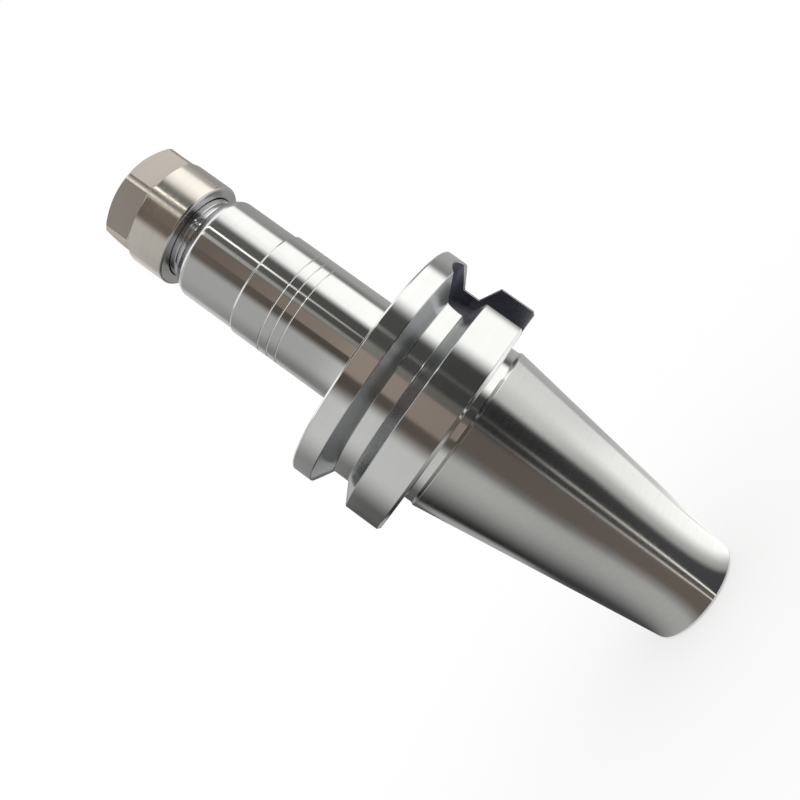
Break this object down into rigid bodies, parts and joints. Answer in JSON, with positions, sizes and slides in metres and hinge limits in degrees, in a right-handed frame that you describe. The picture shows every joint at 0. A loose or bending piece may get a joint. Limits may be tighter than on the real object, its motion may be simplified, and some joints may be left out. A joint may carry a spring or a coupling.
{
  "type": "collet chuck holder",
  "caption": "Steep-taper tool holder with a keyed flange and gripper groove, a slim body, a hexagon clamping nut and a slotted spring collet.",
  "frame": {"origin": "centre of the gauge plane of the taper shank, where the taper is 44.45 mm across", "axes": "+Z along the spindle axis from the shank towards the nut and the tool, X through the two drive slots"},
  "size_m": [0.063, 0.063, 0.1622],
  "materials": {
    "ground_steel": "hardened steel, fine turned and ground bright",
    "nut_nickel": "satin nickel with a warm tint",
    "collet_steel": "ground spring steel"
  },
  "bodies": {
    "holder": {"holder_body": "ground_steel"},
    "collet": {"spring_collet": "collet_steel"},
    "nut": {"clamping_nut": "nut_nickel"}
  },
  "joints": [
    {"name": "collet_draw", "type": "slide", "parent": "holder", "child": "collet", "axis": [0, 0, 1], "range_m": [0, 0.00901]},
    {"name": "nut_thread", "type": "hinge", "parent": "collet", "child": "nut", "pos_m": [0, 0, 0.08805], "axis": [0, 0, 1], "range_deg": [0, 2160]}
  ],
  "couplings": [
    {"joint": "collet_draw", "follows": "nut_thread", "m_per_rad": 0.00023873}
  ]
}
